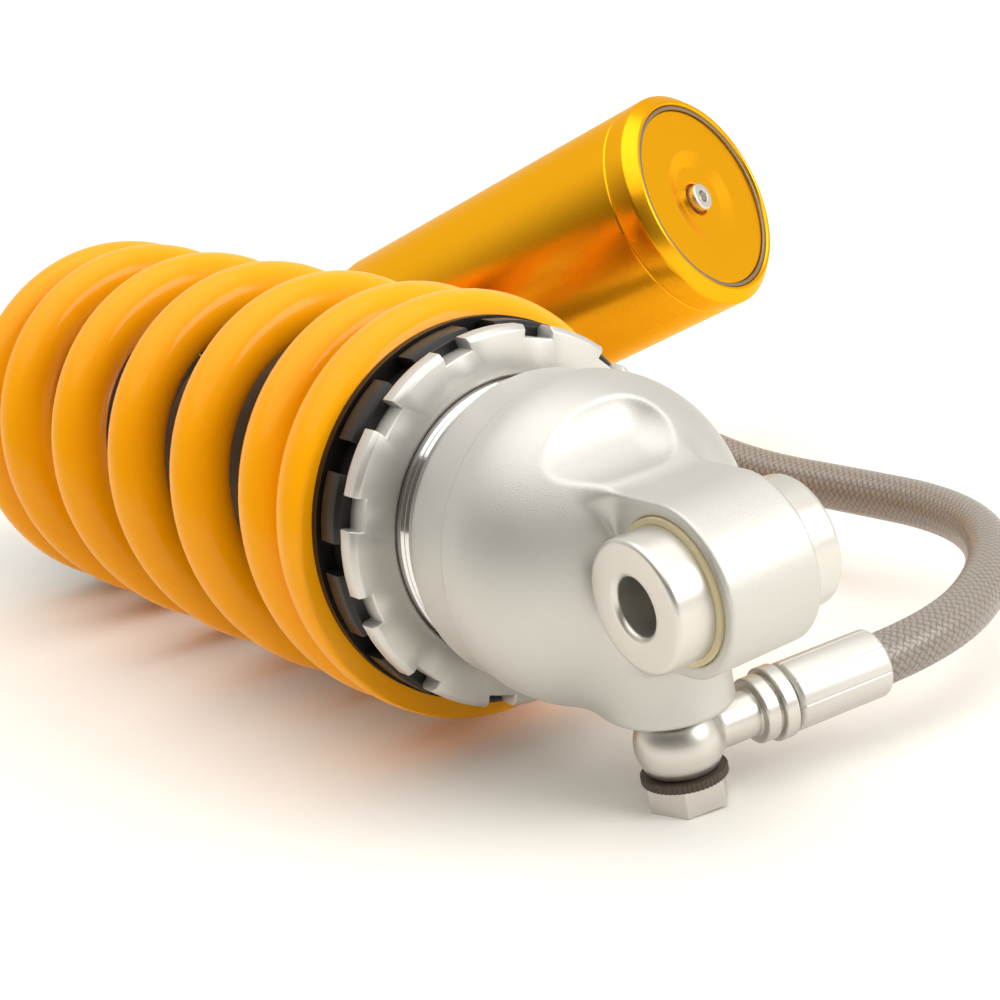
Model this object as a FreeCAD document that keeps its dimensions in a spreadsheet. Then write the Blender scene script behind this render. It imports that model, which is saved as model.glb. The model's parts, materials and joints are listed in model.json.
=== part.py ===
"""Motorcycle rear shock absorber: coil-over damper with a remote gas reservoir.

Frame, in millimetres: the origin is the centre of the upper eye, +X runs along the eye's bore,
+Y runs along the damper away from the eye, and +Z is up when the shock lies on its banjo bolt.
"""
import FreeCAD, Part
import math
import os
import re
import Sketcher

V = FreeCAD.Vector
ALONG_Y = FreeCAD.Rotation(V(1, 0, 0), -90)
TURN = 2 * math.pi

doc = FreeCAD.newDocument("rear_shock")
sheet = doc.addObject("Spreadsheet::Sheet", "Sizes")
PARTS = []

SIZES = {
    # upper eye, across X
    "eye_bore_radius": 5.05, "eye_bore_chamfer": 0.7, "sleeve_radius": 11.55, "sleeve_half": 17.0,
    "sleeve_chamfer": 0.8, "bush_radius": 12.66, "bush_half": 9.7, "bush_gap": 0.03,
    "lug_radius": 15.06, "lug_half": 9.19, "lug_root": 24.0,
    # cylinder head, along Y
    "head_nose": 12.6, "nose_radius": 16.2, "nose_corner": 5.0, "cone_end": 27.4,
    "head_step": 37.3, "head_rear": 48.6, "head_radius": 28.3,
    "dome_radius": 29.4, "dome_corner": 14.0, "socket_depth": 36.5, "socket_radius": 24.5,
    "scallop_radius": 11.06, "scallop_right": 2.42, "scallop_left": 14.52,
    "scallop_along": 13.5, "scallop_height": 27.3,
    "rib_radius": 8.5, "rib_drop": 19.6, "rib_end": 47.0, "passage_radius": 3.0,
    # banjo bolt group, hanging along -Z at one place along Y
    "banjo_along": 19.54, "boss_radius": 11.05, "boss_face": 28.2, "bolt_hole_radius": 5.0,
    "bolt_hole_top": 11.0, "washer_radius": 7.7, "washer_thick": 1.1, "ball_radius": 7.9,
    "ball_half": 5.3, "ball_drop": 34.6, "lower_washer_thick": 1.5, "hex_height": 4.7,
    "hex_corner": 7.6, "hex_turn": 51.0, "bolt_shank_radius": 4.95, "bolt_shank_top": 14.0,
    "bolt_bore_radius": 2.0, "stem_radius": 4.35, "stem_turn": -6.3, "collar_front": 12.6,
    "collar_back": 16.4, "collar_radius": 6.0, "shoulder_back": 20.8, "shoulder_radius": 6.8,
    "groove_back": 21.8, "groove_radius": 5.6, "ferrule_end": 41.5, "ferrule_radius": 6.35,
    "ferrule_chamfer": 0.8, "hose_radius": 4.9,
    # damper body, along Y
    "tube_start": 37.0, "tube_neck_end": 48.65, "tube_neck_radius": 24.45, "tube_radius": 25.9,
    "tube_bore": 23.0, "tube_end": 150.0, "thread_start": 53.0, "thread_end": 104.0,
    "thread_pitch": 1.5, "thread_depth": 0.55,
    "cap_end": 153.0, "cap_bore": 10.5, "cap_spigot": 22.95, "cap_spigot_start": 146.0,
    "guide_start": 126.0, "guide_end": 145.9, "guide_bore": 10.5, "guide_groove_start": 134.0,
    "guide_groove_end": 137.0, "guide_groove_radius": 21.0, "guide_ring_radius": 22.98,
    "bushing_end": 136.0, "seal_start": 137.0, "seal_end": 143.0, "rod_gap": 0.03,
    "wiper_start": 147.0,
    # the two castellated rings on the body thread
    "ring_bore": 26.0, "ring_tip": 35.07, "ring_root": 32.72, "notch_half": 2.95,
    "notch_count": 12, "lock_front": 56.82, "lock_back": 61.84, "lock_turn": 10.4,
    "preload_back": 68.3, "preload_turn": 25.0, "ring_chamfer": 0.9, "preload_tip": 35.4,
    "seat_back": 69.9, "seat_radius": 35.8, "seat_collar_end": 76.0, "seat_collar_radius": 28.1,
    # coil spring
    "wire_diameter": 11.6, "coil_radius": 34.2, "closed_pitch": 11.7, "open_pitch": 29.0,
    "closed_turns": 1.25, "ramp_turns": 0.35, "open_turns": 4.15, "tip_thickness": 2.9,
    "tip_turn": 20.0, "spring_end": 227.9,
    # rod and piston
    "rod_radius": 8.0, "rod_end": 224.0, "rod_thread_radius": 7.0, "rod_thread_end": 239.5,
    "stud_radius": 5.0, "stud_start": 91.0, "stud_end": 122.0, "rod_bore": 2.5,
    "nut_start": 90.0, "nut_end": 96.0, "nut_radius": 9.0, "shim_end": 100.0, "shim_radius": 15.0,
    "shim_tip_radius": 9.0, "piston_end": 113.0, "piston_radius": 22.6, "band_start": 103.5,
    "band_end": 109.5, "band_groove_radius": 21.3, "band_radius": 22.95, "rebound_end": 117.0,
    "topout_radius": 13.0, "needle_radius": 2.2, "needle_start": 93.0, "needle_end": 243.0,
    "bump_start": 205.2, "bump_end": 222.0, "bump_radius": 19.0, "bump_waist": 15.5,
    "bump_cup_radius": 21.5, "stroke": 52.0,
    # lower seat and clevis
    "low_collar_start": 221.5, "low_seat_end": 232.4, "low_seat_radius": 37.0,
    "low_seat_bore": 19.95, "clevis_head_radius": 19.9, "clevis_flange_end": 237.0,
    "clevis_flange_radius": 24.5, "clevis_neck_end": 251.0, "clevis_neck_half": 13.0,
    "window_start": 240.0, "window_end": 248.0, "window_half": 16.4, "wheel_radius": 16.0,
    "wheel_gap": 0.2, "wheel_bore": 2.25, "wheel_flutes": 20, "flute_radius": 0.9,
    "yoke_half": 21.0, "yoke_height": 14.5, "fork_start": 262.0, "fork_half": 13.0,
    "fork_pin": 290.0, "fork_pin_radius": 5.05, "clip_thick": 1.6,
    # remote reservoir, in its own frame: cap centre at the origin, axis along +Y
    "reservoir_x": 122.9, "reservoir_y": 150.4, "reservoir_z": 23.7, "reservoir_yaw": 24.1,
    "reservoir_drop": 20.5, "can_radius": 26.5, "can_bore": 23.0, "can_rim": 2.2,
    "can_end": 101.0, "end_cap_face": 1.3, "end_cap_back": 12.0, "end_cap_radius": 22.95,
    "clip_face": 0.5, "clip_inner": 21.8, "dish_radius": 8.5, "dish_depth": 1.6,
    "valve_radius": 3.3, "valve_hole": 3.4, "valve_back": 9.0, "slug_start": 34.0,
    "slug_end": 48.0, "slug_radius": 22.6, "slug_band_radius": 22.95, "slug_groove_start": 39.0,
    "slug_groove_end": 43.0, "slug_groove_radius": 21.4,
    "block_end": 118.0, "spigot_start": 93.0, "spigot_radius": 22.95, "ear_offset": 34.0,
    "ear_radius": 8.6, "ear_drop": 19.0, "knob_end": 127.0, "knob_radius": 11.5,
    "knob_flutes": 16, "port_radius": 4.3, "gland_radius": 6.8,
    "tail_ferrule_start": 82.0, "tail_ferrule_end": 97.0, "port_floor": 111.0, "block_radius": 26.1,
    "spindle_radius": 4.0, "spindle_hole": 4.05, "spindle_depth": 6.0,
}

# The hose's route, from the mouth of the banjo ferrule to the mouth of the reservoir ferrule.
HOSE_MIDDLE = [
    (59.7, 12.9, -34.6), (77.5, 18.3, -34.2), (91.8, 30.2, -33.2), (99.8, 46.8, -32.2),
    (100.2, 66.0, -31.2), (95.4, 86.0, -30.0), (89.4, 105.0, -27.0), (84.6, 123.5, -21.5),
    (80.9, 141.0, -15.0), (77.9, 157.5, -10.0), (74.4, 174.0, -7.6), (69.9, 190.1, -9.8),
]


def fill_sheet():
    """One row per driving dimension: its name and its value."""
    for row, (name, value) in enumerate(SIZES.items(), start=1):
        sheet.set(f"A{row}", name)
        sheet.set(f"B{row}", str(value))
        sheet.setAlias(f"B{row}", name)
    doc.recompute()


def terms(text):
    """Split a sum such as 'ball_drop-ball_half' into signed names and numbers."""
    return re.findall(r"([+-]?)([A-Za-z_]\w*|\d+\.?\d*)", text)


def value(text):
    """The number that a sum of sheet names gives."""
    total = 0.0
    for sign, word in terms(text):
        number = float(word) if word[0].isdigit() else float(sheet.get(word))
        total += -number if sign == "-" else number
    return total


def bound(text):
    """The same sum as an expression on the sheet."""
    words = [sign + (word if word[0].isdigit() else f"Sizes.{word}") for sign, word in terms(text)]
    return "".join(words)


def minus(text, first=""):
    """The sum first - text, written out term by term."""
    flipped = [("+" if sign == "-" else "-") + word for sign, word in terms(text)]
    return first + "".join(flipped)


def origin_plane(body, role):
    return next(f for f in body.Origin.OriginFeatures if f.Role == role)


def new_body(label):
    body = doc.addObject("PartDesign::Body", label)
    body.Label = label
    PARTS.append(body)
    return body


def new_sketch(body, name, role, offset=None):
    """A sketch on one of the body's origin planes, moved along the plane's normal by offset."""
    sketch = body.newObject("Sketcher::SketchObject", name)
    sketch.AttachmentSupport = (origin_plane(body, role), [""])
    sketch.MapMode = "FlatFace"
    if offset:
        sketch.setExpression("AttachmentOffset.Base.z", bound(offset))
    return sketch


def pin_point(sketch, line, end, axis, text):
    """Hold one coordinate of a point to a sheet expression."""
    number = value(text)
    kind = "DistanceX" if axis == 0 else "DistanceY"
    if abs(number) < 1e-9:
        sketch.addConstraint(Sketcher.Constraint("PointOnObject", line, end, -2 if axis == 0 else -1))
        return
    ends = (-1, 1, line, end) if number > 0 else (line, end, -1, 1)
    index = sketch.addConstraint(Sketcher.Constraint(kind, *ends, abs(number)))
    sketch.setExpression(f"Constraints[{index}]", bound(text) if number > 0 else f"-({bound(text)})")


def outline(sketch, points):
    """A closed outline of straight lines through points given as pairs of sheet expressions."""
    spots = [V(value(x), value(y), 0) for x, y in points]
    count = len(spots)
    for i in range(count):
        sketch.addGeometry(Part.LineSegment(spots[i], spots[(i + 1) % count]), False)
    for i in range(count):
        sketch.addConstraint(Sketcher.Constraint("Coincident", i, 2, (i + 1) % count, 1))
    for i, (x, y) in enumerate(points):
        pin_point(sketch, i, 1, 0, x)
        pin_point(sketch, i, 1, 1, y)


def circle(sketch, x, y, radius):
    """A circle whose centre and radius are sheet expressions."""
    spot = V(value(x), value(y), 0)
    line = sketch.addGeometry(Part.Circle(spot, V(0, 0, 1), value(radius)), False)
    index = sketch.addConstraint(Sketcher.Constraint("Radius", line, value(radius)))
    sketch.setExpression(f"Constraints[{index}]", bound(radius))
    if abs(spot.x) < 1e-9 and abs(spot.y) < 1e-9:
        sketch.addConstraint(Sketcher.Constraint("Coincident", line, 3, -1, 1))
        return
    pin_point(sketch, line, 3, 0, x)
    pin_point(sketch, line, 3, 1, y)


def revolve(body, points, name="Turned"):
    """Turn an outline of (along Y, radius) points about the Y axis."""
    sketch = new_sketch(body, name + "Outline", "YZ_Plane")
    outline(sketch, points)
    feature = body.newObject("PartDesign::Revolution", name)
    feature.Profile = sketch
    feature.ReferenceAxis = (sketch, ["H_Axis"])
    feature.Angle = 360
    return feature


def groove(body, points, name):
    """Turn an outline about the Y axis and take it away."""
    sketch = new_sketch(body, name + "Outline", "YZ_Plane")
    outline(sketch, points)
    feature = body.newObject("PartDesign::Groove", name)
    feature.Profile = sketch
    feature.ReferenceAxis = (sketch, ["H_Axis"])
    feature.Angle = 360
    return feature


def turned(label, points):
    body = new_body(label)
    revolve(body, points)
    return body


def tube_piece(label, start, end, inner, outer):
    """A plain ring or sleeve about the Y axis."""
    return turned(label, [(start, inner), (end, inner), (end, outer), (start, outer)])


def pad(body, sketch, name, length, both_ways=False, backwards=False):
    feature = body.newObject("PartDesign::Pad", name)
    feature.Profile = sketch
    feature.setExpression("Length", bound(length))
    feature.Midplane = both_ways
    feature.Reversed = backwards
    return feature


def pocket(body, sketch, name, length, both_ways=False, backwards=False):
    feature = body.newObject("PartDesign::Pocket", name)
    feature.Profile = sketch
    feature.setExpression("Length", bound(length))
    feature.Midplane = both_ways
    feature.Reversed = backwards
    return feature


def cuts(body, feature):
    """Stop if a cut left its body's volume unchanged."""
    doc.recompute()
    before = feature.BaseFeature.Shape.Volume
    if not feature.Shape.Volume < before - 1e-3:
        raise RuntimeError(f"{body.Label}.{feature.Name} cuts nothing")


def edges_where(feature, test):
    doc.recompute()
    return [f"Edge{i}" for i, edge in enumerate(feature.Shape.Edges, start=1) if test(edge)]


def soften(body, kind, name, base, edges, size):
    """A fillet or a chamfer on some of a feature's edges."""
    feature = body.newObject("PartDesign::" + kind, name)
    feature.Base = (base, edges)
    feature.setExpression("Radius" if kind == "Fillet" else "Size", bound(size))
    return feature


def is_round(edge, radius):
    return isinstance(edge.Curve, Part.Circle) and abs(edge.Curve.Radius - radius) < 1e-3


def around_y(body, feature, name, count):
    pattern = body.newObject("PartDesign::PolarPattern", name)
    pattern.Originals = [feature]
    pattern.Axis = (next(f for f in body.Origin.OriginFeatures if f.Role == "Y_Axis"), [""])
    pattern.Angle = 360
    pattern.setExpression("Occurrences", bound(count))
    body.Tip = pattern
    return pattern


def place(body, position, rotation):
    body.Placement = FreeCAD.Placement(position, rotation)


# ---- upper eye -------------------------------------------------------------------------------

def across_x(label, points):
    """Turn an outline of (along X, radius) points about the X axis."""
    body = new_body(label)
    sketch = new_sketch(body, "Outline", "XZ_Plane")
    outline(sketch, points)
    feature = body.newObject("PartDesign::Revolution", "Turned")
    feature.Profile = sketch
    feature.ReferenceAxis = (sketch, ["H_Axis"])
    feature.Angle = 360
    return body


def eye_parts():
    half, chamfer = "sleeve_half", "sleeve_chamfer"
    across_x("eye_sleeve", [
        (f"-{half}", "eye_bore_radius+eye_bore_chamfer"), (f"-{half}+eye_bore_chamfer", "eye_bore_radius"),
        (f"{half}-eye_bore_chamfer", "eye_bore_radius"), (half, "eye_bore_radius+eye_bore_chamfer"),
        (half, f"sleeve_radius-{chamfer}"), (f"{half}-{chamfer}", "sleeve_radius"),
        (f"-{half}+{chamfer}", "sleeve_radius"), (f"-{half}", f"sleeve_radius-{chamfer}"),
    ])
    across_x("eye_bush", [
        ("-bush_half", "sleeve_radius+bush_gap"), ("bush_half", "sleeve_radius+bush_gap"),
        ("bush_half", "bush_radius"), ("-bush_half", "bush_radius"),
    ])


# ---- cylinder head ---------------------------------------------------------------------------

def cylinder_head():
    body = new_body("cylinder_head")
    dome = revolve(body, [
        ("head_nose", "0"), ("head_nose", "nose_radius"), ("cone_end", "dome_radius"),
        ("head_step", "dome_radius"), ("head_step", "head_radius"), ("head_rear", "head_radius"),
        ("head_rear", "0"),
    ], "Dome")
    crown = value("cone_end")
    rim = edges_where(dome, lambda e: is_round(e, value("dome_radius")) and abs(e.CenterOfMass.y - crown) < 0.01)
    shoulder = soften(body, "Fillet", "Shoulder", dome, rim, "dome_corner")
    nose = edges_where(shoulder, lambda e: is_round(e, value("nose_radius")))
    soften(body, "Fillet", "NoseRim", shoulder, nose, "nose_corner")

    lug = new_sketch(body, "EyeOutline", "YZ_Plane")
    circle(lug, "0", "0", "lug_radius")
    pad(body, lug, "Eye", "lug_half+lug_half", both_ways=True)
    web = new_sketch(body, "WebOutline", "YZ_Plane")
    outline(web, [("0", "-lug_radius"), ("lug_root", "-lug_radius"), ("lug_root", "lug_radius"),
                  ("0", "lug_radius")])
    pad(body, web, "Web", "lug_half+lug_half", both_ways=True)

    boss = new_sketch(body, "BossOutline", "XY_Plane")
    circle(boss, "0", "banjo_along", "boss_radius")
    pad(body, boss, "Boss", "boss_face", backwards=True)
    rib = new_sketch(body, "RibOutline", "XZ_Plane", offset="-rib_end")
    circle(rib, "0", "-rib_drop", "rib_radius")
    pad(body, rib, "Rib", "rib_end-banjo_along")

    scallop = new_sketch(body, "ScallopOutline", "XY_Plane", offset="scallop_height")
    radius, along = value("scallop_radius"), value("scallop_along")
    ends = [V(value("scallop_right"), along, 0), V(-value("scallop_left"), along, 0)]
    scallop.addGeometry(Part.ArcOfCircle(Part.Circle(ends[0], V(0, 0, 1), radius), 0, TURN / 4), False)
    scallop.addGeometry(Part.LineSegment(ends[0] + V(0, radius, 0), ends[1] + V(0, radius, 0)), False)
    scallop.addGeometry(
        Part.ArcOfCircle(Part.Circle(ends[1], V(0, 0, 1), radius), TURN / 4, TURN / 2), False)
    scallop.addGeometry(Part.LineSegment(ends[1] - V(radius, 0, 0), ends[0] + V(radius, 0, 0)), False)
    joins = [(0, 2, 1, 1), (1, 2, 2, 1), (2, 2, 3, 1), (3, 2, 0, 1)]
    for join in joins:
        scallop.addConstraint(Sketcher.Constraint("Coincident", *join))
    scallop.addConstraint(Sketcher.Constraint("PointOnObject", 0, 3, 3))
    scallop.addConstraint(Sketcher.Constraint("PointOnObject", 2, 3, 3))
    pin_point(scallop, 0, 3, 0, "scallop_right")
    pin_point(scallop, 2, 3, 0, "-scallop_left")
    pin_point(scallop, 0, 3, 1, "scallop_along")
    pin_point(scallop, 3, 1, 1, "scallop_along")
    for arc in (0, 2):
        index = scallop.addConstraint(Sketcher.Constraint("Radius", arc, radius))
        scallop.setExpression(f"Constraints[{index}]", bound("scallop_radius"))
    hollow = body.newObject("PartDesign::Groove", "Scallop")
    hollow.Profile = scallop
    hollow.ReferenceAxis = (scallop, ["Edge4"])
    hollow.Angle = 360
    cuts(body, hollow)

    socket = groove(body, [("socket_depth", "0"), ("head_rear+1", "0"), ("head_rear+1", "socket_radius"),
                           ("socket_depth", "socket_radius")], "Socket")
    cuts(body, socket)
    bore = new_sketch(body, "BoreOutline", "YZ_Plane")
    circle(bore, "0", "0", "bush_radius")
    cuts(body, pocket(body, bore, "EyeBore", "lug_half+lug_half+2", both_ways=True))
    tapped = new_sketch(body, "BoltHoleOutline", "XY_Plane", offset="-boss_face")
    circle(tapped, "0", "banjo_along", "bolt_hole_radius")
    cuts(body, pocket(body, tapped, "BoltHole", "boss_face-bolt_hole_top", backwards=True))
    passage = new_sketch(body, "PassageOutline", "XZ_Plane", offset="-socket_depth-1")
    circle(passage, "0", "-rib_drop+4", "passage_radius")
    cuts(body, pocket(body, passage, "Passage", "socket_depth+1-banjo_along", backwards=True))


# ---- banjo bolt and hose fitting ---------------------------------------------------------------

def upright(label, points):
    """Turn an outline of (radius, height) points about the banjo bolt's vertical axis."""
    body = new_body(label)
    sketch = new_sketch(body, "Outline", "XZ_Plane")
    outline(sketch, points)
    feature = body.newObject("PartDesign::Revolution", "Turned")
    feature.Profile = sketch
    feature.ReferenceAxis = (sketch, ["V_Axis"])
    feature.Angle = 360
    place(body, V(0, value("banjo_along"), 0), FreeCAD.Rotation())
    return body


def banjo_parts():
    upright("upper_seal_washer", [
        ("bolt_hole_radius+0.1", "-boss_face"), ("washer_radius", "-boss_face"),
        ("washer_radius", "-boss_face-washer_thick"), ("bolt_hole_radius+0.1", "-boss_face-washer_thick"),
    ])
    low_face = "-ball_drop-ball_half"
    upright("lower_seal_washer", [
        ("bolt_hole_radius+0.1", low_face), ("washer_radius", low_face),
        ("washer_radius", f"{low_face}-lower_washer_thick"),
        ("bolt_hole_radius+0.1", f"{low_face}-lower_washer_thick"),
    ])
    banjo_bolt(f"{low_face}-lower_washer_thick")
    banjo_fitting()


def banjo_bolt(seat):
    body = upright("banjo_bolt", [
        ("0", seat), ("bolt_shank_radius", seat), ("bolt_shank_radius", "-bolt_shank_top"),
        ("0", "-bolt_shank_top"),
    ])
    head = new_sketch(body, "HexOutline", "XY_Plane", offset=seat)
    corner, turn = value("hex_corner"), math.radians(value("hex_turn"))
    spots = [V(corner * math.cos(turn + i * TURN / 6), corner * math.sin(turn + i * TURN / 6), 0)
             for i in range(6)]
    for i in range(6):
        head.addGeometry(Part.LineSegment(spots[i], spots[(i + 1) % 6]), False)
    guide = head.addGeometry(Part.Circle(V(0, 0, 0), V(0, 0, 1), corner), True)
    head.addConstraint(Sketcher.Constraint("Coincident", guide, 3, -1, 1))
    index = head.addConstraint(Sketcher.Constraint("Radius", guide, corner))
    head.setExpression(f"Constraints[{index}]", bound("hex_corner"))
    for i in range(6):
        head.addConstraint(Sketcher.Constraint("Coincident", i, 2, (i + 1) % 6, 1))
        head.addConstraint(Sketcher.Constraint("PointOnObject", i, 1, guide))
        if i:
            head.addConstraint(Sketcher.Constraint("Equal", 0, i))
    head.addConstraint(Sketcher.Constraint("DistanceX", -1, 1, 0, 1, spots[0].x))
    pad(body, head, "Hex", "hex_height", backwards=True)
    bore = new_sketch(body, "BoreOutline", "XY_Plane", offset="-bolt_shank_top")
    circle(bore, "0", "0", "bolt_bore_radius")
    cuts(body, pocket(body, bore, "OilBore", "ball_drop+ball_half-bolt_shank_top"))
    cross = new_sketch(body, "CrossOutline", "YZ_Plane")
    circle(cross, "0", "-ball_drop", "bolt_bore_radius")
    cuts(body, pocket(body, cross, "CrossBore", "bolt_shank_radius+bolt_shank_radius+2", both_ways=True))


def banjo_fitting():
    """The banjo's ball and stem with its crimping shoulder, in one turned and drilled piece."""
    body = new_body("banjo_fitting")
    ball = body.newObject("PartDesign::AdditiveSphere", "Ball")
    ball.setExpression("Radius", bound("ball_radius"))
    stem = new_sketch(body, "StemOutline", "XZ_Plane")
    outline(stem, [
        ("0", "0"), ("0", "stem_radius"), ("collar_front", "stem_radius"),
        ("collar_front", "collar_radius"), ("collar_back", "collar_radius"),
        ("collar_back+0.6", "shoulder_radius"), ("shoulder_back", "shoulder_radius"),
        ("shoulder_back", "groove_radius"), ("groove_back", "groove_radius"), ("groove_back", "0"),
    ])
    feature = body.newObject("PartDesign::Revolution", "Stem")
    feature.Profile = stem
    feature.ReferenceAxis = (stem, ["H_Axis"])
    feature.Angle = 360
    for name, side, backwards in (("TopFlat", "ball_half", True), ("BottomFlat", "-ball_half", False)):
        flat = new_sketch(body, name + "Outline", "XY_Plane", offset=side)
        circle(flat, "0", "0", "ball_radius+0.5")
        cuts(body, pocket(body, flat, name, "ball_radius", backwards=backwards))
    eye = new_sketch(body, "EyeOutline", "XY_Plane")
    circle(eye, "0", "0", "bolt_hole_radius+0.05")
    cuts(body, pocket(body, eye, "EyeBore", "ball_radius+ball_radius", both_ways=True))
    turn = FreeCAD.Rotation(V(0, 0, 1), value("stem_turn"))
    place(body, V(0, value("banjo_along"), -value("ball_drop")), turn)

    ferrule = across_x("hose_ferrule", [
        ("groove_back", "hose_radius-1.2"), ("ferrule_end", "hose_radius-1.2"),
        ("ferrule_end", "ferrule_radius-ferrule_chamfer"), ("ferrule_end-ferrule_chamfer", "ferrule_radius"),
        ("groove_back+ferrule_chamfer", "ferrule_radius"), ("groove_back", "ferrule_radius-ferrule_chamfer"),
    ])
    place(ferrule, V(0, value("banjo_along"), -value("ball_drop")), turn)


# ---- damper body -------------------------------------------------------------------------------

def body_tube():
    body = turned("body_tube", [
        ("tube_start", "tube_bore"), ("tube_end", "tube_bore"), ("tube_end", "tube_radius"),
        ("tube_neck_end", "tube_radius"), ("tube_neck_end", "tube_neck_radius"),
        ("tube_start", "tube_neck_radius"),
    ])
    cut = new_sketch(body, "ThreadOutline", "YZ_Plane")
    outline(cut, [
        ("thread_start", "tube_radius+0.1"), ("thread_start+0.6", "tube_radius-thread_depth"),
        ("thread_start+0.8", "tube_radius-thread_depth"), ("thread_start+1.4", "tube_radius+0.1"),
    ])
    furrow = body.newObject("PartDesign::Groove", "Furrow")
    furrow.Profile = cut
    furrow.ReferenceAxis = (cut, ["H_Axis"])
    furrow.Angle = 360
    cuts(body, furrow)
    thread = body.newObject("PartDesign::LinearPattern", "Thread")
    thread.Originals = [furrow]
    thread.Direction = (next(f for f in body.Origin.OriginFeatures if f.Role == "Y_Axis"), [""])
    thread.setExpression("Length", bound("thread_end-thread_start"))
    thread.Occurrences = 1 + round((value("thread_end") - value("thread_start")) / value("thread_pitch"))
    body.Tip = thread


def seal_parts():
    turned("rod_guide", [
        ("guide_start", "guide_bore"), ("guide_end", "guide_bore"), ("guide_end", "cap_spigot"),
        ("guide_groove_end", "cap_spigot"), ("guide_groove_end", "guide_groove_radius"),
        ("guide_groove_start", "guide_groove_radius"), ("guide_groove_start", "cap_spigot"),
        ("guide_start", "cap_spigot"),
    ])
    tube_piece("rod_guide_o_ring", "guide_groove_start", "guide_groove_end", "guide_groove_radius",
               "guide_ring_radius")
    tube_piece("rod_bushing", "guide_start", "bushing_end", "rod_radius+rod_gap", "guide_bore")
    tube_piece("rod_seal", "seal_start", "seal_end", "rod_radius+rod_gap", "guide_bore")
    turned("end_cap", [
        ("cap_spigot_start", "cap_bore"), ("cap_end", "cap_bore"), ("cap_end", "tube_radius-1"),
        ("cap_end-1", "tube_radius"), ("tube_end", "tube_radius"), ("tube_end", "cap_spigot"),
        ("cap_spigot_start", "cap_spigot"),
    ])
    tube_piece("wiper_seal", "wiper_start", "cap_end-0.3", "rod_radius+rod_gap", "cap_bore")


# ---- castellated rings, spring and its upper seat ------------------------------------------------

def castellated_ring(label, front, back, tip, turn):
    """A ring nut with spanner notches all round, chamfered at both faces."""
    body = new_body(label)
    face = new_sketch(body, "FaceOutline", "XZ_Plane", offset=f"-{front}")
    circle(face, "0", "0", tip)
    circle(face, "0", "0", "ring_bore")
    blank = pad(body, face, "Blank", f"{back}-{front}", backwards=True)
    rims = edges_where(blank, lambda e: is_round(e, value(tip)))
    soften(body, "Chamfer", "Bevel", blank, rims, "ring_chamfer")
    notch = new_sketch(body, "NotchOutline", "XZ_Plane", offset=f"-{front}")
    outline(notch, [("ring_root", "-notch_half"), (f"{tip}+1", "-notch_half"),
                    (f"{tip}+1", "notch_half"), ("ring_root", "notch_half")])
    cut = pocket(body, notch, "Notch", f"{back}-{front}")
    cuts(body, cut)
    around_y(body, cut, "Notches", "notch_count")
    place(body, V(0, 0, 0), FreeCAD.Rotation(V(0, 1, 0), -value(turn)))


def ring_parts():
    castellated_ring("lock_ring", "lock_front", "lock_back", "ring_tip", "lock_turn")
    castellated_ring("preload_ring", "lock_back", "preload_back", "preload_tip", "preload_turn")
    turned("upper_spring_seat", [
        ("preload_back", "ring_bore+0.1"), ("seat_collar_end", "ring_bore+0.1"),
        ("seat_collar_end", "seat_collar_radius"), ("seat_back", "seat_collar_radius"),
        ("seat_back", "seat_radius"), ("preload_back", "seat_radius"),
    ])


def spring_height(turns):
    """Height of the wire's centre above the upper seat after so many turns from its tip."""
    closed, ramp, opened = value("closed_turns"), value("ramp_turns"), value("open_turns")
    low, high = value("closed_pitch"), value("open_pitch")
    stations = [(closed, low, low), (ramp, low, high), (opened, high, high), (ramp, high, low),
                (closed, low, low)]
    height = value("tip_thickness") - value("wire_diameter") / 2
    for span, first, last in stations:
        step = min(max(turns, 0.0), span)
        height += step * (first + (last - first) * step / span / 2)
        turns -= span
    return height


def coil_spring():
    """Closed and ground spring of round wire, wound right-handed, with open turns in the middle."""
    total = 2 * (value("closed_turns") + value("ramp_turns")) + value("open_turns")
    steps_per_turn = 16
    count = int(math.ceil(total * steps_per_turn))
    radius, start, base = value("coil_radius"), math.radians(value("tip_turn")), value("seat_back")
    points = []
    for i in range(count + 1):
        turns = total * i / count
        angle = start - TURN * turns
        points.append(V(radius * math.cos(angle), base + spring_height(turns), radius * math.sin(angle)))
    centre_line = Part.BSplineCurve()
    centre_line.interpolate(points)
    path = Part.Wire([centre_line.toShape()])
    section = Part.Wire([Part.Circle(points[0], centre_line.tangent(centre_line.FirstParameter)[0],
                                     value("wire_diameter") / 2).toShape()])
    wire = path.makePipeShell([section], True, True)
    reach = value("coil_radius") + value("wire_diameter")
    thick = value("wire_diameter")
    end = value("spring_end")
    for low in (base - thick, end):
        wire = wire.cut(Part.makeCylinder(reach, thick, V(0, low, 0), V(0, 1, 0)))
    spring = doc.addObject("Part::Feature", "coil_spring")
    spring.Label = "coil_spring"
    spring.Shape = wire
    PARTS.append(spring)


# ---- rod, piston and what rides on them ----------------------------------------------------------

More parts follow.
